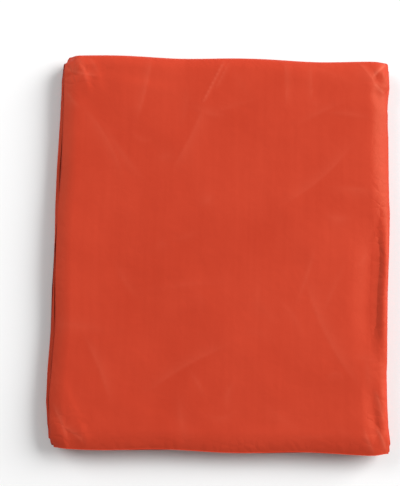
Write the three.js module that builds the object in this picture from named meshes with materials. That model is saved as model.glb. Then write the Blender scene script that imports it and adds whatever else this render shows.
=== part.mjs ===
// A folded emergency sleeping bag: a lay-flat tube of orange polythene film, lying on its back.
// The tube is folded in half twice across its width, which makes a strip of eight plies, and the
// strip is then folded back and forth along its length. Millimetres, +Z up, +X to the right and
// +Y towards the head edge. The origin is under the pack's middle, on what it rests on.
import * as THREE from "three";

// The bag lying flat, before it is folded, and how many widths of the strip it makes.
const TUBE_WIDTH = 914;
const TUBE_LENGTH = 2134;
const COLUMNS = 4;

// One folded strip of eight plies with the air between them, and the space to the next one.
const STRIP_WIDTH = TUBE_WIDTH / COLUMNS;
const STRIP_THICKNESS = 1.75;
const STRIP_GAP = 0.35;
const PITCH = STRIP_THICKNESS + STRIP_GAP;
const TURN_RADIUS = PITCH / 2;

// How far each fold reaches from the pack's middle, from the bottom of the pack up. The first
// fold is at the head edge (+Y), the next at the foot edge (-Y), and they take turns from there.
const FOLD_REACHES = [134.0, 133.4, 131.8, 131.8, 133.2, 136.0, 136.6];
// The bottom panel's free end, at the foot edge. The top panel takes the rest of the length.
const BOTTOM_END_REACH = 127.5;

const PANELS = FOLD_REACHES.length + 1;
const PACK_HEIGHT = PANELS * PITCH - STRIP_GAP;
const HALF_WIDTH = STRIP_WIDTH / 2;
const HALF_LENGTH = Math.max(...FOLD_REACHES);

// How the pack has settled along its edges: the top comes down by a share of its height, the
// underside lifts by a length, and both fade out over a distance inwards.
const SIDE_EDGES = [
  { toEdge: ({ x }) => HALF_WIDTH - x, topDrop: 0.24, underLift: 1.3, fade: 13 },
  { toEdge: ({ x }) => HALF_WIDTH + x, topDrop: 0.18, underLift: 1.1, fade: 11 },
];
const END_EDGES = [
  { toEdge: ({ y }) => HALF_LENGTH - y, topDrop: 0.1, underLift: 0.8, fade: 9 },
  { toEdge: ({ y }) => HALF_LENGTH + y, topDrop: 0.16, underLift: 0.9, fade: 14 },
];
// The top swells and sinks gently across the face, by shares of the height.
const SWELLS = [
  { share: 0.018, lengthX: 310, lengthY: 420, start: 0.1 },
  { share: 0.012, lengthX: -170, lengthY: 230, start: 0.4 },
];
// How far each corner of the pack is drawn in along X and Y, and how far that reaches inwards.
const CORNERS = [
  { x: -1, y: 1, drawInX: 3.6, drawInY: 0.3, fadeX: 5.5, fadeY: 5.5 },
  { x: 1, y: 1, drawInX: 1.0, drawInY: 0.4, fadeX: 7, fadeY: 7 },
  { x: -1, y: -1, drawInX: 1.6, drawInY: 0.4, fadeX: 6, fadeY: 4 },
  { x: 1, y: -1, drawInX: 0.8, drawInY: 1.4, fadeX: 7, fadeY: 11 },
];
// How far the right edge stands out from a straight line, from foot to head.
const RIGHT_OUTLINE = [
  { y: -133, out: 2.0 },
  { y: -114, out: -0.5 },
  { y: -92, out: -1.1 },
  { y: -74, out: -0.3 },
  { y: -34, out: -0.7 },
  { y: -4, out: 0.3 },
  { y: 40, out: 1.1 },
  { y: 62, out: 0.3 },
  { y: 98, out: 0.8 },
  { y: 111, out: -0.8 },
  { y: 119, out: 1.6 },
  { y: 137, out: 1.6 },
];
// The same for the left edge.
const LEFT_OUTLINE = [
  { y: -137, out: 0.6 },
  { y: -127, out: 1.1 },
  { y: -118, out: 2.3 },
  { y: -102, out: 3.2 },
  { y: -80, out: 2.2 },
  { y: -55, out: 1.6 },
  { y: -12, out: 2.2 },
  { y: 20, out: 2.0 },
  { y: 54, out: 1.5 },
  { y: 100, out: 1.2 },
  { y: 137, out: 0.9 },
];
// The left edge and the two end edges also wander in gentle waves, which climb from panel to panel.
const LEFT_WAVE = { height: 0.4, length: 118, start: 0.2, climb: 1 };
const END_WAVE = { height: 0.7, length: 96, start: 0.35, climb: 0.8 };
// The top and bottom panels are drawn in along the sides, and the middle ones hardly are.
const RIGHT_TUCK = 1.1;
const LEFT_TUCK = 2.4;
// Long soft forms of the face: a trough or a ridge between two points, how far it reaches to its
// left and its right, and the distance over which it starts and ends.
const FORMS = [
  // The slope down to the head edge.
  { from: [-120, 146], to: [120, 146], height: -2.2, left: 16, right: 16, fade: 10 },
  // The shoulder near the head, which falls away steeply.
  { from: [116.0, 106], to: [116.0, 62], height: -1.3, left: 10, right: 9, fade: 22 },
  // The long trough inside the right edge, and the ridge beside it.
  { from: [105.4, 16], to: [102.8, -64], height: -2.3, left: 10, right: 6, fade: 26 },
  { from: [113.8, 20], to: [113.2, -64], height: 4.0, left: 5.2, right: 3.4, fade: 28 },
  // A second, weaker pair below them.
  { from: [105.6, -90], to: [108.8, -124], height: -1.2, left: 4.5, right: 4.2, fade: 12 },
  { from: [113.4, -86], to: [113.8, -124], height: 1.6, left: 3.8, right: 2.6, fade: 14 },
];
// They fade out with depth, from the top of the pack down to this share of its height.
const FORM_DEPTH = 0.35;
// How far each panel has slipped sideways, from the bottom of the pack up.
const PANEL_SLIPS = [1.1, 0, 1.1, 0.3, 1.0, -0.1, 0.9, 0.6];

// How finely the solid is divided.
const STEPS_PER_PANEL = 10;
const STEPS_PER_TURN = 6;
const PLACES_ACROSS = [-107, -99, -86, -57, -20, 20, 57, 86, 94, 99.5, 103.5, 106.5, 109.5, 112];
// The strip's long edges are round: stations from the edge inwards, and the share of the
// thickness at each.
const ROUND_EDGE = [
  { inwards: 0, share: 0.4 },
  { inwards: 0.3, share: 0.82 },
  { inwards: 1.0, share: 1 },
];

const FILM_COLOUR = 0xd34b33;
const FILM_ROUGHNESS = 0.45;

const { clamp, lerp, smoothstep } = THREE.MathUtils;
const wave = (turns) => Math.sin(2 * Math.PI * turns);
const panelHeight = (panel) => STRIP_THICKNESS / 2 + panel * PITCH;
const panelSide = (panel) => (panel % 2 === 0 ? 1 : -1);

// A panel's stations along the strip, crowded towards its two ends, where the pack is round.
function panelStations(panel, from, to) {
  return Array.from({ length: STEPS_PER_PANEL + 1 }, (_, step) => {
    const share = 0.5 - 0.5 * Math.cos((Math.PI * step) / STEPS_PER_PANEL);
    return { y: lerp(from, to, share), z: panelHeight(panel), normalY: 0, normalZ: panelSide(panel) };
  });
}

// A turn's stations on its half circle. Its two ends belong to the panels beside it.
function turnStations(panel, centreY) {
  return Array.from({ length: STEPS_PER_TURN - 1 }, (_, step) => {
    const angle = (Math.PI * (step + 1)) / STEPS_PER_TURN;
    return {
      y: centreY + panelSide(panel) * TURN_RADIUS * Math.sin(angle),
      z: panelHeight(panel) + TURN_RADIUS * (1 - Math.cos(angle)),
      normalY: -Math.sin(angle),
      normalZ: panelSide(panel) * Math.cos(angle),
    };
  });
}

// The strip's middle line in the Y-Z plane, from the bottom panel's free end to the top one's.
function stripStations() {
  const stations = [];
  let from = -BOTTOM_END_REACH;
  let used = 0;
  FOLD_REACHES.forEach((reach, panel) => {
    const centreY = panelSide(panel) * (reach - TURN_RADIUS - STRIP_THICKNESS / 2);
    stations.push(...panelStations(panel, from, centreY), ...turnStations(panel, centreY));
    used += Math.abs(centreY - from) + Math.PI * TURN_RADIUS;
    from = centreY;
  });
  const freeEnd = from + panelSide(PANELS - 1) * (TUBE_LENGTH - used);
  return [...stations, ...panelStations(PANELS - 1, from, freeEnd)];
}

// Stations across the strip's width, each with the share of the thickness that it has there.
function widthStations() {
  const left = ROUND_EDGE.map(({ inwards, share }) => ({ x: inwards - HALF_WIDTH, share }));
  const middle = PLACES_ACROSS.map((x) => ({ x, share: 1 }));
  const right = left.map(({ x, share }) => ({ x: -x, share })).reverse();
  return [...left, ...middle, ...right];
}

// A value between the rows of a table, which rise by key, eased smoothly from row to row.
function eased(rows, key, at, value) {
  const row = clamp(rows.findLastIndex((each) => each[key] <= at), 0, rows.length - 2);
  const [before, after] = [rows[row], rows[row + 1]];
  return lerp(before[value], after[value], smoothstep(at, before[key], after[key]));
}

const slipRows = PANEL_SLIPS.map((slip, panel) => ({ height: panelHeight(panel), slip }));

// How near a point is to an edge: 1 on it, falling to 0 where the edge's roundness ends.
const nearness = (edge, point) => clamp(1 - edge.toEdge(point) / edge.fade, 0, 1) ** 2;
const sumOver = (rows, term) => rows.reduce((sum, row) => sum + term(row), 0);

// The height of one of the face's forms at a point: a bell curve across its line.
function formHeight({ from, to, height, left, right, fade }, { x, y }) {
  const length = Math.hypot(to[0] - from[0], to[1] - from[1]);
  const [lineX, lineY] = [(to[0] - from[0]) / length, (to[1] - from[1]) / length];
  const along = (x - from[0]) * lineX + (y - from[1]) * lineY;
  const across = (y - from[1]) * lineX - (x - from[0]) * lineY;
  const ends = smoothstep(along, -fade, fade) * smoothstep(length - along, -fade, fade);
  return height * ends * Math.exp(-((across / (across > 0 ? right : left)) ** 2));
}

// The settled height of a point of the neatly folded strip.
function settledHeight(point) {
  const { x, y, z } = point;
  const swell = sumOver(SWELLS, (s) => s.share * wave(x / s.lengthX + y / s.lengthY + s.start));
  const drop = sumOver([...SIDE_EDGES, ...END_EDGES], (edge) => edge.topDrop * nearness(edge, point));
  const nearSide = sumOver(SIDE_EDGES, (edge) => nearness(edge, point));
  const sideLift = sumOver(SIDE_EDGES, (edge) => edge.underLift * nearness(edge, point));
  const endLift = sumOver(END_EDGES, (edge) => edge.underLift * nearness(edge, point));
  const lift = sideLift + endLift * (1 - nearSide);
  const height = z / PACK_HEIGHT;
  const forms = smoothstep(height, FORM_DEPTH, 1) * sumOver(FORMS, (form) => formHeight(form, point));
  return z * (1 - drop + swell) + lift * (1 - height) + forms;
}

// Moves a point of the neatly folded strip to where it lies in the settled pack.
function settle(point) {
  const { x, y, z } = point;
  const height = z / PACK_HEIGHT;
  const tuckShare = (2 * height - 1) ** 2;
  const leftWave = wave(y / LEFT_WAVE.length + LEFT_WAVE.start + LEFT_WAVE.climb * height);
  const endWave = wave(x / END_WAVE.length + END_WAVE.start + END_WAVE.climb * height);
  const rightOut = eased(RIGHT_OUTLINE, "y", y, "out") - RIGHT_TUCK * tuckShare;
  const leftWander = LEFT_WAVE.height * leftWave;
  const leftOut = eased(LEFT_OUTLINE, "y", y, "out") + leftWander - LEFT_TUCK * tuckShare;
  const settled = {
    x: x + eased(slipRows, "height", z, "slip"),
    y: y + END_WAVE.height * endWave * (y / HALF_LENGTH) ** 3,
    z: settledHeight(point),
  };
  settled.x += smoothstep(x, 0, HALF_WIDTH) * rightOut - smoothstep(-x, 0, HALF_WIDTH) * leftOut;
  for (const corner of CORNERS) {
    const awayX = (HALF_WIDTH - corner.x * x) / corner.fadeX;
    const awayY = (HALF_LENGTH - corner.y * y) / corner.fadeY;
    const near = Math.exp(-(awayX ** 2) - awayY ** 2);
    settled.x -= corner.x * corner.drawInX * near;
    settled.y -= corner.y * corner.drawInY * near;
  }
  return settled;
}

// The whole strip starts as a flat box with a grid on it. Each of its points goes to its station
// along and across the folded strip, half a thickness to one side of the strip's middle line,
// and from there to its place in the settled pack.
function foldedBag() {
  const along = stripStations();
  const across = widthStations();
  const [lastAlong, lastAcross] = [along.length - 1, across.length - 1];
  const geometry = new THREE.BoxGeometry(1, 1, 1, lastAcross, lastAlong, 1);
  const position = geometry.getAttribute("position");
  for (let i = 0; i < position.count; i++) {
    const place = across[Math.round((position.getX(i) + 0.5) * lastAcross)];
    const station = along[Math.round((position.getY(i) + 0.5) * lastAlong)];
    const outwards = position.getZ(i) * STRIP_THICKNESS * place.share;
    const { x, y, z } = settle({
      x: place.x,
      y: station.y + station.normalY * outwards,
      z: station.z + station.normalZ * outwards,
    });
    position.setXYZ(i, x, y, z);
  }
  geometry.computeVertexNormals();
  const film = new THREE.MeshStandardMaterial({
    color: FILM_COLOUR,
    roughness: FILM_ROUGHNESS,
    metalness: 0,
  });
  const mesh = new THREE.Mesh(geometry, film);
  mesh.name = "folded_bag";
  return mesh;
}

const bag = new THREE.Group();
bag.add(foldedBag());

export default bag;
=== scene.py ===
"""A folded emergency sleeping bag of orange polythene film, lying on its back.

The film is one lay-flat tube. It is folded in half twice across its width, which makes a strip of
four double sheets, and the strip is folded back and forth along its length into eight panels.
Lengths are in millimetres until a mesh is made. X runs across the pack, Y towards its head edge and
Z up. The strip's length and width are the two parameters of one grid, which every function moves.
"""
import math
from typing import NamedTuple

import bpy
import numpy as np
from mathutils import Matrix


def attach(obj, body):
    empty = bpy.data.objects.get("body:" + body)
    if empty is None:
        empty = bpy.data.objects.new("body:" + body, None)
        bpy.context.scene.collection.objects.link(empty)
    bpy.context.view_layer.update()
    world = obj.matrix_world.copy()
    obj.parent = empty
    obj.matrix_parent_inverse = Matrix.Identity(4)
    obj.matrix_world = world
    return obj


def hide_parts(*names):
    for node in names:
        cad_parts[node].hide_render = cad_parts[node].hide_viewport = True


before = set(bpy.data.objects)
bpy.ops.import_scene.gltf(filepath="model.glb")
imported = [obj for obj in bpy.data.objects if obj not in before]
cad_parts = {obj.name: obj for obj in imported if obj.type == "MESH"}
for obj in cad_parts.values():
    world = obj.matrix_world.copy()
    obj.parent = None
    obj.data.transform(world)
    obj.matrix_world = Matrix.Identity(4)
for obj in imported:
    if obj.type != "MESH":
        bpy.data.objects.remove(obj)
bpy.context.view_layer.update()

MM = 0.001

# The bag lying flat, and the strip that it is folded into.
TUBE_WIDTH = 914.0
TUBE_LENGTH = 2134.0
COLUMNS = 4
STRIP_THICKNESS = 1.75
STRIP_GAP = 0.35
PITCH = STRIP_THICKNESS + STRIP_GAP
TURN_RADIUS = PITCH / 2
SHEET_THICKNESS = 0.3
SHEET_PITCH = (STRIP_THICKNESS - SHEET_THICKNESS) / (COLUMNS - 1)

# How far each fold reaches from the pack's middle, from the bottom up, head and foot in turn.
FOLD_REACHES = (134.0, 133.4, 131.8, 131.8, 133.2, 136.0, 136.6)
BOTTOM_END_REACH = 127.5
PANELS = len(FOLD_REACHES) + 1
TOP_PANEL = PANELS - 1
PACK_HEIGHT = PANELS * PITCH - STRIP_GAP
HALF_WIDTH = TUBE_WIDTH / COLUMNS / 2
HALF_LENGTH = max(FOLD_REACHES)

# Where the sheets turn across the strip: how far each turn reaches from its middle.
OUTER_SPINE_REACH = HALF_WIDTH + 0.3
INNER_SPINE_REACH = HALF_WIDTH - 0.6
SMALL_LOOP_REACH = HALF_WIDTH + 0.2
FIRST_EDGE_REACH = HALF_WIDTH - 0.3

# How finely the film is divided. The face that shows has all the lines, the rest every fourth.
# Towards the ends of a panel or a run the lines lie closer: how far that reaches inwards, and how
# much it adds to their density.
SHOWN_STEPS_ALONG = 240
SHOWN_STEPS_ACROSS = 200
COARSE_EVERY = 4
BOTTOM_STEPS = 20
INNER_STEPS_ALONG = 12
INNER_STEPS_ACROSS = 10
TURN_STEPS = 6
SPINE_STEPS = 8
CROWDING_ALONG = (30.0, 1.3)
CROWDING_ACROSS = (25.0, 1.6)
DENSITY_SAMPLES = 2001

# The runs of the double sheets across the strip, from the far side to the shown one and back.
FIRST_RUN, SHOWN_RUN, THIRD_RUN, LAST_RUN = range(4)

# How the pack has settled along its edges: the top comes down by a share of its height, the
# underside lifts by a length, and both fade out over a distance inwards.
SIDE_EDGES = (
    {"side": 1, "top_drop": 0.24, "under_lift": 1.3, "fade": 13.0},
    {"side": -1, "top_drop": 0.18, "under_lift": 1.1, "fade": 11.0},
)
END_EDGES = (
    {"side": 1, "top_drop": 0.10, "under_lift": 0.8, "fade": 9.0},
    {"side": -1, "top_drop": 0.16, "under_lift": 0.9, "fade": 14.0},
)
SWELLS = (
    {"share": 0.018, "length_x": 310.0, "length_y": 420.0, "start": 0.1},
    {"share": 0.012, "length_x": -170.0, "length_y": 230.0, "start": 0.4},
)
# How far each corner is drawn in along X and Y, and how far that reaches inwards.
CORNERS = (
    {"x": -1, "y": 1, "draw_x": 3.6, "draw_y": 0.3, "fade_x": 5.5, "fade_y": 5.5},
    {"x": 1, "y": 1, "draw_x": 1.0, "draw_y": 0.4, "fade_x": 7.0, "fade_y": 7.0},
    {"x": -1, "y": -1, "draw_x": 1.6, "draw_y": 0.4, "fade_x": 6.0, "fade_y": 4.0},
    {"x": 1, "y": -1, "draw_x": 0.8, "draw_y": 1.4, "fade_x": 7.0, "fade_y": 11.0},
)
# How far the right and the left edge stand out from straight lines: Y, and the distance.
RIGHT_OUTLINE = (
    (-133.0, 2.0),
    (-114.0, -0.5),
    (-92.0, -1.1),
    (-74.0, -0.3),
    (-34.0, -0.7),
    (-4.0, 0.3),
    (40.0, 1.1),
    (62.0, 0.3),
    (98.0, 0.8),
    (111.0, -0.8),
    (119.0, 1.6),
    (137.0, 1.6),
)
LEFT_OUTLINE = (
    (-137.0, 0.6),
    (-127.0, 1.1),
    (-118.0, 2.3),
    (-102.0, 3.2),
    (-80.0, 2.2),
    (-55.0, 1.6),
    (-12.0, 2.2),
    (20.0, 2.0),
    (54.0, 1.5),
    (100.0, 1.2),
    (137.0, 0.9),
)
# The left edge and the end edges also wander in waves, which climb from panel to panel.
LEFT_WAVE = {"height": 0.4, "length": 118.0, "start": 0.2, "climb": 1.0}
END_WAVE = {"height": 0.7, "length": 96.0, "start": 0.35, "climb": 0.8}
# How far the top and bottom panels are drawn in, and how far each panel has slipped sideways.
RIGHT_TUCK = 1.1
LEFT_TUCK = 2.4
PANEL_SLIPS = (1.1, 0.0, 1.1, 0.3, 1.0, -0.1, 0.9, 0.6)

# Along the pack's edges each strip is pressed flatter, and the gaps between strips open.
STRIP_SQUEEZE = 0.17

# How the turns and free edges of the sheets wander along the strip: height, length, start.
WANDERS = {
    "outer_spine": ((0.35, 173.0, 0.20), (0.22, 61.0, 0.65)),
    "inner_spine": ((0.40, 131.0, 0.05), (0.25, 47.0, 0.30)),
    "small_loop": ((0.40, 157.0, 0.45), (0.20, 53.0, 0.10)),
    "first_edge": ((0.60, 211.0, 0.70), (0.30, 71.0, 0.25)),
    "last_edge": ((0.55, 187.0, 0.15), (0.35, 83.0, 0.55)),
}
WANDER_FROM = 45.0
TOP_WANDER = 0.35


class Fold(NamedTuple):
    """A ridge of the face, or a trough where its height is negative. It runs from start to end and
    starts and ends over the length of its fade. Left and right are how far it reaches to each side,
    as seen with the head edge up on a line that runs towards the foot. Its middle bows sideways."""

    start: tuple
    end: tuple
    height: float
    left: float
    right: float
    fade: float
    bow: float = 0.0


# The soft forms of the face. They fade out with depth, from the top to this share of the height.
FORMS = (
    # The slope down to the head edge.
    Fold((-120.0, 146.0), (120.0, 146.0), -2.2, 16.0, 16.0, 10.0),
    # The long trough inside the right edge, and the ridge beside it.
    Fold((105.4, 16.0), (102.8, -64.0), -2.3, 10.0, 6.0, 26.0),
    Fold((113.8, 20.0), (113.2, -64.0), 4.0, 5.2, 3.4, 28.0),
    # A second, weaker trough and ridge below them.
    Fold((103.8, -90.0), (106.0, -126.0), -1.3, 5.0, 4.2, 12.0),
    Fold((112.6, -86.0), (113.0, -126.0), 1.6, 4.2, 3.0, 14.0),
    # The shoulder above the long trough, which falls away steeply.
    Fold((116.0, 106.0), (116.0, 62.0), -1.3, 10.0, 9.0, 22.0),
    # The pinched right corners.
    Fold((101.5, 131.0), (109.0, 109.0), -0.7, 3.5, 3.5, 8.0),
    Fold((109.0, 133.0), (112.0, 121.0), 0.5, 2.5, 2.5, 5.0),
    # The crumpled left corners.
    Fold((-104.0, 133.0), (-97.0, 110.0), 0.6, 5.0, 2.4, 7.0),
    Fold((-112.0, 121.0), (-92.0, 126.0), -0.5, 3.0, 3.0, 6.0),
    Fold((-92.0, 136.0), (-84.0, 112.0), -0.35, 3.0, 7.0, 8.0),
    Fold((-110.0, -112.0), (-98.0, -136.0), -0.45, 3.0, 4.5, 8.0),
    Fold((-104.0, -96.0), (-90.0, -130.0), 0.35, 6.0, 3.0, 10.0),
    # Slack along the head edge.
    Fold((-92.0, 127.0), (-40.0, 118.0), -0.25, 4.0, 6.0, 16.0),
    Fold((-84.0, 115.0), (-18.0, 112.0), 0.16, 5.0, 5.0, 18.0),
    Fold((34.0, 126.0), (92.0, 122.0), 0.16, 5.0, 6.0, 18.0),
    # Slack across the middle.
    Fold((-78.0, 108.0), (-24.0, 66.0), 0.30, 9.0, 16.0, 24.0),
    Fold((96.0, 112.0), (40.0, 78.0), 0.28, 16.0, 9.0, 22.0),
    Fold((30.0, 52.0), (84.0, -34.0), 0.30, 10.0, 19.0, 26.0),
    Fold((-86.0, 34.0), (-44.0, -70.0), -0.28, 12.0, 18.0, 28.0),
    Fold((-30.0, -18.0), (40.0, -96.0), 0.28, 18.0, 10.0, 26.0),
    Fold((-70.0, -88.0), (-12.0, -122.0), -0.25, 10.0, 12.0, 18.0),
)
FORM_DEPTH = 0.35
FORM_POWER = 2.0

# The creases of the face's film, which are sharp along their crests.
CREASES = (
    # The slanting crease under the head edge, and fainter ones beside it.
    Fold((-1.0, 134.0), (-15.4, 103.0), 0.16, 0.8, 1.8, 5.0),
    Fold((2.4, 133.0), (-6.5, 114.0), 0.08, 0.8, 2.4, 5.0),
    Fold((42.0, 136.0), (42.4, 104.0), 0.07, 0.8, 5.0, 8.0, 0.5),
    Fold((61.6, 136.0), (61.2, 106.0), 0.06, 4.0, 0.8, 8.0, -0.5),
    Fold((-52.0, 134.0), (-60.0, 92.0), 0.07, 5.0, 1.0, 9.0, 0.8),
    # The upper left corner.
    Fold((-106.0, 136.0), (-97.0, 116.0), 0.10, 1.2, 5.0, 6.0, 1.0),
    Fold((-113.0, 126.0), (-90.0, 121.0), 0.12, 1.2, 4.0, 6.0, -1.0),
    Fold((-97.0, 136.0), (-88.0, 122.0), 0.06, 4.0, 1.4, 6.0, 0.7),
    Fold((-112.0, 112.0), (-101.0, 98.0), 0.07, 4.5, 1.4, 6.0, -0.8),
    # The upper right corner.
    Fold((103.5, 124.5), (114.0, 136.0), 0.30, 1.2, 2.8, 4.0),
    Fold((104.0, 121.5), (112.5, 113.0), 0.24, 2.8, 1.2, 4.0),
    Fold((94.0, 135.0), (104.5, 121.0), 0.12, 1.2, 3.2, 5.0, 0.6),
    # The lower right corner.
    Fold((105.5, -94.0), (111.0, -114.0), 0.14, 2.8, 1.4, 6.0, 0.7),
    Fold((106.0, -118.0), (113.5, -134.0), 0.20, 2.4, 1.3, 5.0, 0.6),
    Fold((98.0, -120.0), (105.5, -136.0), 0.12, 3.0, 1.4, 6.0, -0.7),
    # The lower left corner.
    Fold((-112.0, -108.0), (-102.0, -130.0), 0.12, 1.3, 3.4, 6.0, 0.8),
    Fold((-106.0, -121.0), (-90.0, -133.0), 0.10, 1.3, 3.6, 6.0, 0.8),
    # Long faint ones across the middle.
    Fold((-14.2, 103.0), (-34.0, 58.0), 0.06, 1.4, 9.0, 12.0, 1.5),
    Fold((-96.0, 96.0), (-70.0, 52.0), 0.06, 7.0, 1.4, 16.0, 2.5),
    Fold((88.0, 74.0), (44.0, 34.0), 0.05, 9.0, 1.4, 18.0, 3.0),
    Fold((58.0, -20.0), (92.0, -88.0), 0.06, 1.4, 9.0, 22.0, -4.0),
    Fold((4.0, -66.0), (-46.0, -96.0), 0.05, 8.0, 1.4, 16.0, -2.0),
    Fold((-92.0, -62.0), (-74.0, -104.0), 0.06, 1.4, 7.0, 14.0, 1.6),
)
CREASE_POWER = 1.2
# Small buckles of the film, strewn over the face from a fixed seed.
BUCKLE_SEED = 11
BUCKLES = 70
BUCKLE_HEIGHTS = (0.015, 0.06)
BUCKLE_LENGTHS = (10.0, 46.0)
BUCKLE_REACHES = (1.5, 8.0)
BUCKLE_BOW = 3.0
# The deepest that a crease may cut, so that the film beneath never shows through.
DEEPEST_CREASE = -0.2
# The height of crease whose crest takes the full paler colour.
FULL_PALING_HEIGHT = 0.3

# Where the film is crinkled: the middle of each patch, its reaches along X and Y, and how much.
CRINKLED = (
    (-104.0, 128.0, 20.0, 15.0, 1.0),
    (108.0, 128.0, 11.0, 13.0, 0.8),
    (108.0, -116.0, 10.0, 26.0, 0.8),
    (-104.0, -126.0, 20.0, 17.0, 0.7),
    (110.0, 0.0, 8.0, 100.0, 0.7),
    (0.0, 134.0, 150.0, 6.0, 0.35),
    (0.0, -134.0, 150.0, 7.0, 0.45),
    (-112.0, 0.0, 6.0, 160.0, 0.35),
)
CRINKLED_EVERYWHERE = 0.10

# Where the camera stands and how it is turned: it looks down on the face from its foot.
CAMERA_PLACE = (-0.0197, -0.1075, 0.8085)
CAMERA_TURN_DEG = (8.02, -0.50, 1.21)
CAMERA_FOCAL_PX = 1164.6
PHOTO_HEIGHT_PX = 486
SENSOR_MM = 36.0

# The studio: how far its floor reaches, and each light's place, its size in metres and its power.
FLOOR_REACH = 8.0
FLOOR_WHITE = 0.93
FLOOR_ROUGHNESS = 0.8
KEY_LIGHT = {"place": (2.42, 1.05, 1.53), "size": 2.2, "power": 138.0}
FILL_LIGHT = {"place": (-1.8, 1.1, 1.3), "size": 1.6, "power": 29.0}
SURROUND_STRENGTH = 0.26

# The film's colours from 0 to 255: its two tones, and the paler one painted on the crests of its
# creases.
DEEP_ORANGE = (190, 60, 39)
CLEAR_ORANGE = (199, 66, 44)
CREST_PALE_ORANGE = (244, 128, 100)
CREST_PALING_SHARE = 0.35
# The film's streaks along its length, and how much they count beside the patches.
STREAK_STRETCH = (60.0, 2.5, 1.0)
STREAK_SHARE = 0.35
# Its gloss, which goes from the first roughness to the second over the patches.
FILM_SPECULAR = 0.12
FILM_GLINT = (1.0, 0.75, 0.4, 1.0)
SMOOTHEST, ROUGHEST = 0.40, 0.50
# Its small relief, in metres: how deep the ripples, the crinkles' facets and the grain are, how
# many facets there are to a metre, and how far their lines are bent.
RIPPLE_DEPTH = 0.0012
FACET_DEPTH = 0.0012
GRAIN_DEPTH = 0.0001
FACETS_PER_METRE = 130.0
FACET_BEND = (0.012, 0.012, 0.012)


def smooth(start, end, value):
    """0 before start, 1 after end, and 3t^2 - 2t^3 between them."""
    t = np.clip((value - start) / (end - start), 0.0, 1.0)
    return t * t * (3.0 - 2.0 * t)


def eased(rows, at):
    """A table's value at a key, going from row to row along the curve of smooth()."""
    keys, values = np.array(rows).T
    row = np.clip(np.searchsorted(keys, at, side="right") - 1, 0, len(keys) - 2)
    share = smooth(keys[row], keys[row + 1], at)
    return values[row] * (1.0 - share) + values[row + 1] * share


def crowded(start, end, count, reach, extra):
    """Stations from start to end. Their density is 1 in the middle and 1 + extra at both ends, and
    falls between as a bell curve of that reach. Each station takes an equal part of its sum."""
    share = np.linspace(0.0, 1.0, DENSITY_SAMPLES)
    away = share * abs(end - start)
    near_start, near_end = np.exp(-((away / reach) ** 2)), np.exp(-(((away[-1] - away) / reach) ** 2))
    density = 1.0 + extra * (near_start + near_end)
    running = np.concatenate([[0.0], np.cumsum((density[1:] + density[:-1]) / 2.0)])
    return start + (end - start) * np.interp(np.linspace(0.0, running[-1], count + 1), running, share)


def path_length(*coordinates):
    """The distance run along a line of points, at each point."""
    steps = np.sqrt(sum(np.diff(c) ** 2 for c in coordinates))
    return np.concatenate([[0.0], np.cumsum(steps)])


def strip_path():
    """The strip's middle line in the Y-Z plane, from the bottom panel's free end to the top one's:
    straight panels joined by half circles. Rows are y, z, the normal's y and z, and the panel."""
    parts = []
    start = -BOTTOM_END_REACH
    used = 0.0
    for panel in range(PANELS):
        side = 1.0 if panel % 2 == 0 else -1.0
        height = STRIP_THICKNESS / 2 + panel * PITCH
        if panel < TOP_PANEL:
            end = side * (FOLD_REACHES[panel] - TURN_RADIUS - STRIP_THICKNESS / 2)
        else:
            end = start + side * (TUBE_LENGTH - used)
        steps = {0: BOTTOM_STEPS, TOP_PANEL: SHOWN_STEPS_ALONG}.get(panel, INNER_STEPS_ALONG)
        y = crowded(start, end, steps, *CROWDING_ALONG)
        level = np.ones_like(y)
        parts.append([y, height * level, 0.0 * level, side * level, panel * level])
        if panel < TOP_PANEL:
            angle = np.linspace(0.0, np.pi, TURN_STEPS + 1)[1:-1]
            y = end + side * TURN_RADIUS * np.sin(angle)
            z = height + TURN_RADIUS * (1.0 - np.cos(angle))
            turning = panel + angle / np.pi
            parts.append([y, z, -np.sin(angle), side * np.cos(angle), turning])
        used += abs(end - start) + math.pi * TURN_RADIUS
        start = end
    return np.concatenate([np.array(part) for part in parts], axis=1)


def turn_points(centre, radius, first, last, steps, outwards):
    """Points inside an arc about (x, h): centre plus radius times (cos, sin), with the normal
    along the radius, outwards for 1 and inwards for -1."""
    angle = np.linspace(first, last, steps + 1)[1:-1]
    x, h = centre[0] + radius * np.cos(angle), centre[1] + radius * np.sin(angle)
    return [x, h, outwards * np.cos(angle), outwards * np.sin(angle)]


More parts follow.
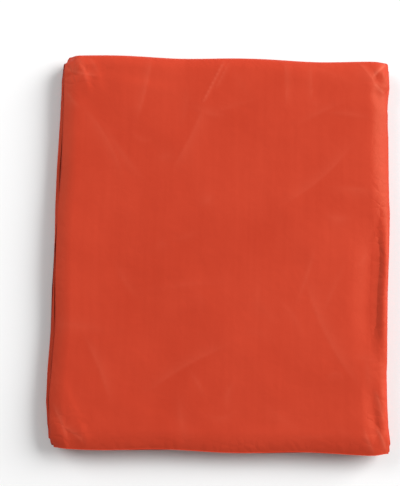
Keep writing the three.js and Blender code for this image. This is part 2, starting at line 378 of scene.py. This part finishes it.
def width_path():
    """The double sheets across the strip, as one line through its section: a run at the far side,
    round the outer spine to the shown side, back through a small loop and round the inner spine.
    The sheets lie a pitch apart, so the outer spine's radius is one and a half pitches, and a half
    is the others'. Rows are x, the height h in the strip, the normal's x and h, and the run."""
    p, t = SHEET_PITCH, SHEET_THICKNESS
    outer = OUTER_SPINE_REACH - 1.5 * p - t / 2
    inner = INNER_SPINE_REACH - 0.5 * p - t / 2
    loop = -(SMALL_LOOP_REACH - 0.5 * p - t / 2)
    first = -FIRST_EDGE_REACH
    used = (outer - first) + (outer - loop) + (inner - loop) + 2.5 * math.pi * p
    last = inner - (TUBE_WIDTH - used)
    half = math.pi / 2
    runs = (
        (first, outer, 3.5 * p, 1.0, INNER_STEPS_ACROSS),
        (outer, loop, 0.5 * p, -1.0, SHOWN_STEPS_ACROSS),
        (loop, inner, 1.5 * p, 1.0, INNER_STEPS_ACROSS),
        (inner, last, 2.5 * p, -1.0, INNER_STEPS_ACROSS),
    )
    turns = (
        turn_points((outer, 2.0 * p), 1.5 * p, half, -half, SPINE_STEPS, 1.0),
        turn_points((loop, p), 0.5 * p, -half, -3.0 * half, TURN_STEPS, 1.0),
        turn_points((inner, 2.0 * p), 0.5 * p, -half, half, TURN_STEPS, -1.0),
    )
    parts = []
    for run, (start, end, h, side, steps) in enumerate(runs):
        x = crowded(start, end, steps, *CROWDING_ACROSS)
        level = np.ones_like(x)
        parts.append([x, h * level, 0.0 * level, side * level, run * level])
        if run < len(turns):
            parts.append([*turns[run], (run + 0.5) * np.ones_like(turns[run][0])])
    return np.concatenate([np.array(part) for part in parts], axis=1)


def wander(name, along):
    """The sum of a turn's or edge's waves at a distance along the strip."""
    return sum(h * np.sin(2.0 * np.pi * (along / length + start)) for h, length, start in WANDERS[name])


def wandered(x, run, along, panel):
    """Moves the sheets' turns and free edges sideways by their wander. It grows from nothing inside
    the strip to its full height at the edge, and is smaller on the top panel. At the right the first
    two runs meet at the outer spine and the others at the inner one. At the left the first and the
    last run end in free edges, and the small loop joins the two between them."""
    right = smooth(WANDER_FROM, HALF_WIDTH, x)
    left = smooth(WANDER_FROM, HALF_WIDTH, -x)
    calm = 1.0 - (1.0 - TOP_WANDER) * smooth(TOP_PANEL - 1.0, TOP_PANEL, panel)
    outer_spine, inner_spine = wander("outer_spine", along), wander("inner_spine", along)
    right_wander = np.where(run < THIRD_RUN, outer_spine, inner_spine)
    left_wander = np.where(run == FIRST_RUN, wander("first_edge", along), wander("small_loop", along))
    left_wander = np.where(run == LAST_RUN, wander("last_edge", along), left_wander)
    return x + calm * (right * right_wander - left * left_wander)


def nearness(distance, fade):
    """1 on an edge, falling as a square to 0 where its roundness ends."""
    return np.clip(1.0 - distance / fade, 0.0, 1.0) ** 2


def fold_share(x, y, fold, power):
    """The share of a fold's height at each point: exp(-|across / reach| ** power) across its line,
    times a smooth start and end along it. The line bows like 4t(1 - t)."""
    (x0, y0), (x1, y1) = fold.start, fold.end
    length = math.hypot(x1 - x0, y1 - y0)
    line_x, line_y = (x1 - x0) / length, (y1 - y0) / length
    along = (x - x0) * line_x + (y - y0) * line_y
    t = np.clip(along / length, 0.0, 1.0)
    across = (y - y0) * line_x - (x - x0) * line_y - fold.bow * 4.0 * t * (1.0 - t)
    ends = smooth(-fold.fade, fold.fade, along) * smooth(-fold.fade, fold.fade, length - along)
    return ends * np.exp(-np.abs(across / np.where(across > 0.0, fold.right, fold.left)) ** power)


def settle(x, y, z):
    """Moves points of the neatly folded strip to where they lie in the settled pack.

    Up and down: near the edges a sine of the height squeezes each strip. Then the height is scaled
    by 1, less the edges' drops and plus the swells' sines, and the edges' lifts and the forms are
    added, the lifts as a share that falls from the underside and the forms as one that falls from
    the top. Sideways: each panel slips, and the outlines push the edges out, less a tuck that grows
    as the square of the distance from the middle height. The left edge wanders as a sine, and so do
    the end edges, by the cube of Y. Last, each corner is drawn in as a bell curve around it."""
    height = z / PACK_HEIGHT
    sides = [nearness(HALF_WIDTH - e["side"] * x, e["fade"]) for e in SIDE_EDGES]
    ends = [nearness(HALF_LENGTH - e["side"] * y, e["fade"]) for e in END_EDGES]
    near = np.clip(sum(sides) + sum(ends), 0.0, 1.0)
    z = z - near * STRIP_SQUEEZE * np.sin(2.0 * np.pi * (z - STRIP_THICKNESS / 2) / PITCH)
    swell_turns = [x / s["length_x"] + y / s["length_y"] + s["start"] for s in SWELLS]
    swell = sum(s["share"] * np.sin(2.0 * np.pi * turns) for s, turns in zip(SWELLS, swell_turns))
    drop = sum(e["top_drop"] * n for e, n in zip(SIDE_EDGES + END_EDGES, sides + ends))
    side_lift = sum(e["under_lift"] * n for e, n in zip(SIDE_EDGES, sides))
    end_lift = sum(e["under_lift"] * n for e, n in zip(END_EDGES, ends))
    lift = side_lift + end_lift * (1.0 - sum(sides))
    settled_z = z * (1.0 - drop + swell) + lift * (1.0 - height)
    forms = sum(fold.height * fold_share(x, y, fold, FORM_POWER) for fold in FORMS)
    settled_z = settled_z + smooth(FORM_DEPTH, 1.0, height) * forms

    tuck_share = (2.0 * height - 1.0) ** 2
    slip_rows = [(STRIP_THICKNESS / 2 + panel * PITCH, slip) for panel, slip in enumerate(PANEL_SLIPS)]
    left_turns = y / LEFT_WAVE["length"] + LEFT_WAVE["start"] + LEFT_WAVE["climb"] * height
    end_turns = x / END_WAVE["length"] + END_WAVE["start"] + END_WAVE["climb"] * height
    right_out = eased(RIGHT_OUTLINE, y) - RIGHT_TUCK * tuck_share
    left_wander = LEFT_WAVE["height"] * np.sin(2.0 * np.pi * left_turns)
    left_out = eased(LEFT_OUTLINE, y) + left_wander - LEFT_TUCK * tuck_share
    settled_x = x + eased(slip_rows, z)
    settled_x += smooth(0.0, HALF_WIDTH, x) * right_out - smooth(0.0, HALF_WIDTH, -x) * left_out
    settled_y = y + END_WAVE["height"] * np.sin(2.0 * np.pi * end_turns) * (y / HALF_LENGTH) ** 3
    for c in CORNERS:
        away_x = (HALF_WIDTH - c["x"] * x) / c["fade_x"]
        away_y = (HALF_LENGTH - c["y"] * y) / c["fade_y"]
        corner_share = np.exp(-(away_x**2) - away_y**2)
        settled_x -= c["x"] * c["draw_x"] * corner_share
        settled_y -= c["y"] * c["draw_y"] * corner_share
    return settled_x, settled_y, settled_z


def buckles():
    """Small folds at seeded places and headings, some raised and some sunk."""
    rng = np.random.default_rng(BUCKLE_SEED)
    folds = []
    for _ in range(BUCKLES):
        x, y = rng.uniform(-0.95, 0.95, 2) * (HALF_WIDTH, HALF_LENGTH)
        heading = rng.uniform(0.0, np.pi)
        half = rng.uniform(*BUCKLE_LENGTHS) / 2
        dx, dy = half * math.cos(heading), half * math.sin(heading)
        height = rng.uniform(*BUCKLE_HEIGHTS) * rng.choice((-1.0, 1.0))
        left, right = rng.uniform(*BUCKLE_REACHES, 2)
        bow = rng.uniform(-BUCKLE_BOW, BUCKLE_BOW)
        folds.append(Fold((x - dx, y - dy), (x + dx, y + dy), height, left, right, half, bow))
    return folds


def face_creases(x, y):
    """The height of the face's creases, and how much paler the film is painted on their crests. The
    height is the sum of all of them. The paling is the highest of their squared shares, less on a
    lower crease."""
    height, crest_paling = np.zeros_like(x), np.zeros_like(x)
    for fold in (*CREASES, *buckles()):
        share = fold_share(x, y, fold, CREASE_POWER)
        height += fold.height * share
        # The crests are painted paler, and more so on a higher crease.
        crest_paling = np.maximum(crest_paling, share**2 * np.clip(fold.height / FULL_PALING_HEIGHT, 0.0, 1.0))
    return np.maximum(height, DEEPEST_CREASE), crest_paling


def crinkling(x, y):
    """How crinkled the film is at each point, from 0 to 1: patches of a bell curve's shape."""
    share = np.full_like(x, CRINKLED_EVERYWHERE)
    for at_x, at_y, reach_x, reach_y, much in CRINKLED:
        away = ((x - at_x) / reach_x) ** 2 + ((y - at_y) / reach_y) ** 2
        share = np.maximum(share, much * np.exp(-away))
    return share


def bridge(fine, coarse, stops, flipped):
    """Faces between a line of close points and a line of wide ones. Each face has two of the wide
    points, and all the close ones from one stop to the next."""
    faces = []
    for k, (a, b) in enumerate(zip(stops[:-1], stops[1:])):
        face = [coarse[k], *fine[a : b + 1], coarse[k + 1]]
        faces.append(face[::-1] if flipped else face)
    return faces


def quads(ids, flipped):
    """The faces of a grid of point numbers, each from four neighbours."""
    corners = [ids[:-1, :-1], ids[:-1, 1:], ids[1:, 1:], ids[1:, :-1]]
    faces = np.stack(corners, axis=-1).reshape(-1, 4)
    return (faces[:, ::-1] if flipped else faces).tolist()


def film_faces(rows, columns, panel, run):
    """The faces of the film's two sides and its rims. On the top panel the outer side has all its
    lines. Elsewhere both sides keep every fourth line of the shown run, and the inner side also
    keeps every fourth row of the top panel."""
    outer = np.arange(rows * columns).reshape(rows, columns)
    inner = outer + rows * columns
    top = np.flatnonzero(panel == TOP_PANEL)
    shown = np.flatnonzero(run == SHOWN_RUN)
    row_kept = np.setdiff1d(np.arange(rows), top[np.arange(len(top)) % COARSE_EVERY > 0])
    column_kept = np.setdiff1d(np.arange(columns), shown[np.arange(len(shown)) % COARSE_EVERY > 0])
    dense = np.flatnonzero(panel > TOP_PANEL - 1)[0]
    low, low_kept = np.arange(dense), row_kept[row_kept >= dense]
    faces = quads(outer[np.ix_(low, column_kept)], False)
    faces += quads(outer[dense:], False)
    faces += quads(inner[np.ix_(row_kept, column_kept)], True)
    faces += bridge(outer[dense], outer[dense - 1, column_kept], column_kept, True)
    start, start_stops = outer[0, column_kept], np.arange(len(column_kept))
    faces += bridge(start, inner[0, column_kept], start_stops, False)
    faces += bridge(outer[-1], inner[-1, column_kept], column_kept, True)
    for column, flipped in ((0, True), (columns - 1, False)):
        steps = np.arange(dense + 1)
        faces += bridge(outer[: dense + 1, column], inner[: dense + 1, column], steps, flipped)
        faces += bridge(outer[dense:, column], inner[low_kept, column], low_kept - dense, flipped)
    return faces


def film_mesh():
    """The whole film as points, faces, and its sheet coordinates, the share of paler colour on the
    crease crests and crinkling at each point.
    A point's place in the strip's section goes along the strip's normal, and from there to where
    it lies in the settled pack."""
    y, z, normal_y, normal_z, panel = (row[:, None] for row in strip_path())
    x, h, normal_x, normal_h, run = (row[None, :] for row in width_path())
    along = path_length(y[:, 0], z[:, 0])[:, None]
    across = path_length(x[0], h[0])[None, :]
    sides = []
    for side in (1.0, -1.0):
        offset = side * SHEET_THICKNESS / 2
        off_line = h + offset * normal_h - COLUMNS / 2 * SHEET_PITCH
        flat_x = wandered(x + offset * normal_x, run, along, panel)
        sides.append(settle(flat_x, y + normal_y * off_line, z + normal_z * off_line))
    points = np.array(sides)
    height, crest_paling = face_creases(points[0, 0], points[0, 1])
    facing_up = np.clip(normal_z * normal_h, 0.0, 1.0) * (panel == TOP_PANEL) * (run < THIRD_RUN)
    points[0, 2] += height * facing_up
    # Only the outer side of the shown face is painted paler on the crease crests.
    crest_paling = np.stack([crest_paling * facing_up, 0.0 * crest_paling])
    crinkled = crinkling(points[:, 0], points[:, 1])
    sheet = np.stack(np.broadcast_arrays(across, along), axis=-1)
    faces = film_faces(len(y), x.shape[1], panel[:, 0], run[0])
    sheet = np.tile(sheet.reshape(-1, 2), (2, 1))
    return points.transpose(0, 2, 3, 1).reshape(-1, 3), faces, sheet, crest_paling.ravel(), crinkled.ravel()


def film_piece(name, material):
    """Makes the film's mesh, without the points that no face uses."""
    points, faces, sheet, crest_paling, crinkled = film_mesh()
    used, numbers = np.unique(np.concatenate(faces), return_inverse=True)
    ends = np.cumsum([len(face) for face in faces])
    faces = [part.tolist() for part in np.split(numbers, ends[:-1])]
    mesh = bpy.data.meshes.new(name)
    mesh.from_pydata((points[used] * MM).tolist(), [], faces)
    mesh.update()
    for attribute, values in (("crest_paling", crest_paling), ("crinkled", crinkled)):
        layer = mesh.attributes.new(attribute, "FLOAT", "POINT")
        layer.data.foreach_set("value", values[used].astype(np.float32))
    corner_points = np.zeros(len(mesh.loops), np.int32)
    mesh.loops.foreach_get("vertex_index", corner_points)
    uv = mesh.uv_layers.new(name="sheet")
    uv.data.foreach_set("uv", (sheet[used][corner_points] * MM).astype(np.float32).ravel())
    mesh.polygons.foreach_set("use_smooth", np.ones(len(mesh.polygons), bool))
    mesh.materials.append(material)
    piece = bpy.data.objects.new(name, mesh)
    bpy.context.scene.collection.objects.link(piece)
    return piece


class Nodes:
    """A material's node tree, with short calls that add a node and set its sockets."""

    def __init__(self, name):
        self.material = bpy.data.materials.new(name)
        self.material.use_nodes = True
        self.tree = self.material.node_tree
        self.shader = self.tree.nodes["Principled BSDF"]

    def add(self, kind, settings=None, **sockets):
        """A new node, with its settings and the values or links of its sockets."""
        node = self.tree.nodes.new(kind)
        for key, value in (settings or {}).items():
            setattr(node, key, value)
        for key, value in sockets.items():
            self.set(node, key.replace("_", " "), value)
        return node

    def set(self, node, socket, value):
        """Links a socket, named or numbered, to another node's output, or sets its value."""
        target = node.inputs[int(socket)] if socket.isdigit() else node.inputs[socket]
        if isinstance(value, bpy.types.NodeSocket):
            self.tree.links.new(value, target)
        else:
            target.default_value = value


def linear(red, green, blue):
    """A colour given from 0 to 255, as the shader's linear values."""
    shares = np.array([red, green, blue]) / 255.0
    low, high = shares / 12.92, ((shares + 0.055) / 1.055) ** 2.4
    return (*np.where(shares <= 0.04045, low, high), 1.0)


def film_colour(n, coords, patches):
    """Two tones mixed by patches and by streaks along the film, and a paler one painted on the crests
    of the creases, in proportion to the share stored on the mesh."""
    place = n.add("ShaderNodeMapping", Vector=coords.outputs["UV"], Scale=STREAK_STRETCH)
    streaks = n.add("ShaderNodeTexNoise", Vector=place.outputs[0], Scale=4.0, Detail=3.0)
    tones = n.add("ShaderNodeMath", {"operation": "MULTIPLY_ADD"})
    n.set(tones, "0", streaks.outputs[0])
    n.set(tones, "1", STREAK_SHARE)
    n.set(tones, "2", patches.outputs[0])
    tone_range = n.add("ShaderNodeMapRange", Value=tones.outputs[0], From_Min=0.45, From_Max=0.95)
    body = n.add("ShaderNodeMix", {"data_type": "RGBA"}, Factor=tone_range.outputs[0])
    n.set(body, "6", linear(*DEEP_ORANGE))
    n.set(body, "7", linear(*CLEAR_ORANGE))
    # A paler orange is painted along the crests of the creases, by the share stored on the mesh.
    crest_paling_node = n.add("ShaderNodeAttribute", {"attribute_name": "crest_paling"})
    crest_paling_mix = n.add("ShaderNodeMath", {"operation": "MULTIPLY"})
    n.set(crest_paling_mix, "0", crest_paling_node.outputs["Fac"])
    n.set(crest_paling_mix, "1", CREST_PALING_SHARE)
    colour = n.add("ShaderNodeMix", {"data_type": "RGBA"}, Factor=crest_paling_mix.outputs[0])
    n.set(colour, "6", body.outputs[2])
    n.set(colour, "7", linear(*CREST_PALE_ORANGE))
    return colour.outputs[2]


def film_relief(n, place):
    """Ripples all over, facets as deep as the film is crinkled, and a fine grain on top of both."""
    bend = n.add("ShaderNodeTexNoise", Vector=place, Scale=45.0, Detail=2.0)
    bent = n.add("ShaderNodeVectorMath", {"operation": "MULTIPLY_ADD"})
    n.set(bent, "0", bend.outputs["Color"])
    n.set(bent, "1", FACET_BEND)
    n.set(bent, "2", place)
    facets = n.add("ShaderNodeTexVoronoi", {"feature": "DISTANCE_TO_EDGE"}, Vector=bent.outputs[0])
    n.set(facets, "Scale", FACETS_PER_METRE)
    crinkled = n.add("ShaderNodeAttribute", {"attribute_name": "crinkled"})
    facet_height = n.add("ShaderNodeMath", {"operation": "MULTIPLY"})
    n.set(facet_height, "0", facets.outputs["Distance"])
    n.set(facet_height, "1", crinkled.outputs["Fac"])
    ripples = n.add("ShaderNodeTexNoise", Vector=place, Scale=38.0, Detail=2.0, Roughness=0.45)
    grain = n.add("ShaderNodeTexNoise", Vector=place, Scale=900.0, Detail=2.0)
    reliefs = (
        (ripples.outputs[0], 0.4, RIPPLE_DEPTH),
        (facet_height.outputs[0], 0.8, FACET_DEPTH),
        (grain.outputs[0], 0.12, GRAIN_DEPTH),
    )
    under = None
    for height, strength, depth in reliefs:
        bump = n.add("ShaderNodeBump", Height=height, Strength=strength, Distance=depth)
        if under:
            n.set(bump, "Normal", under.outputs[0])
        under = bump
    return under.outputs[0]


def film_material():
    """Orange polythene film: a satin plastic with faint streaks along its length, small crinkles
    that come and go in patches, and paler lines painted on the crests of its creases."""
    n = Nodes("orange film")
    coords = n.add("ShaderNodeTexCoord")
    place = coords.outputs["Object"]
    patches = n.add("ShaderNodeTexNoise", Vector=place, Scale=22.0, Detail=3.0, Roughness=0.55)
    rough = n.add("ShaderNodeMapRange", Value=patches.outputs[0], From_Min=0.3, From_Max=0.7)
    n.set(rough, "To Min", SMOOTHEST)
    n.set(rough, "To Max", ROUGHEST)
    n.set(n.shader, "Base Color", film_colour(n, coords, patches))
    n.set(n.shader, "Specular IOR Level", FILM_SPECULAR)
    n.set(n.shader, "Specular Tint", FILM_GLINT)
    n.set(n.shader, "Roughness", rough.outputs[0])
    n.set(n.shader, "Normal", film_relief(n, place))
    return n.material


def floor_material():
    """A plain, nearly white studio surface."""
    n = Nodes("studio surface")
    n.set(n.shader, "Base Color", (FLOOR_WHITE, FLOOR_WHITE, FLOOR_WHITE, 1.0))
    n.set(n.shader, "Roughness", FLOOR_ROUGHNESS)
    return n.material


def studio_floor():
    """A large flat square under the pack."""
    mesh = bpy.data.meshes.new("floor")
    corners = [(x * FLOOR_REACH, y * FLOOR_REACH, 0.0) for x, y in ((-1, -1), (1, -1), (1, 1), (-1, 1))]
    mesh.from_pydata(corners, [], [(0, 1, 2, 3)])
    mesh.materials.append(floor_material())
    floor = bpy.data.objects.new("floor", mesh)
    bpy.context.scene.collection.objects.link(floor)


def area_light(name, place, size, power):
    """A square soft light that faces the pack."""
    light = bpy.data.lights.new(name, "AREA")
    light.size = size
    light.energy = power
    lamp = bpy.data.objects.new(name, light)
    lamp.location = place
    lamp.rotation_euler = (-lamp.location).to_track_quat("-Z", "Y").to_euler()
    bpy.context.scene.collection.objects.link(lamp)


def studio():
    """A soft key light from the right, a weaker one from beyond the upper left corner and an even
    surround."""
    area_light("key light", **KEY_LIGHT)
    area_light("fill light", **FILL_LIGHT)
    world = bpy.data.worlds.new("surround")
    world.use_nodes = True
    surround = world.node_tree.nodes["Background"]
    surround.inputs["Color"].default_value = (1.0, 1.0, 1.0, 1.0)
    surround.inputs["Strength"].default_value = SURROUND_STRENGTH
    bpy.context.scene.world = world
    bpy.context.scene.view_settings.view_transform = "Standard"


def camera():
    """The camera, with its focal length worked out from the photograph's height in pixels."""
    lens = bpy.data.cameras.new("camera")
    lens.sensor_fit = "VERTICAL"
    lens.sensor_height = SENSOR_MM
    lens.lens = CAMERA_FOCAL_PX / PHOTO_HEIGHT_PX * SENSOR_MM
    lens.clip_start = 0.01
    eye = bpy.data.objects.new("camera", lens)
    eye.location = CAMERA_PLACE
    eye.rotation_euler = [math.radians(turn) for turn in CAMERA_TURN_DEG]
    bpy.context.scene.collection.objects.link(eye)
    bpy.context.scene.camera = eye


camera()
studio()
studio_floor()

film = film_piece("folded_film", film_material())
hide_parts("folded_bag")
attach(film, "root")
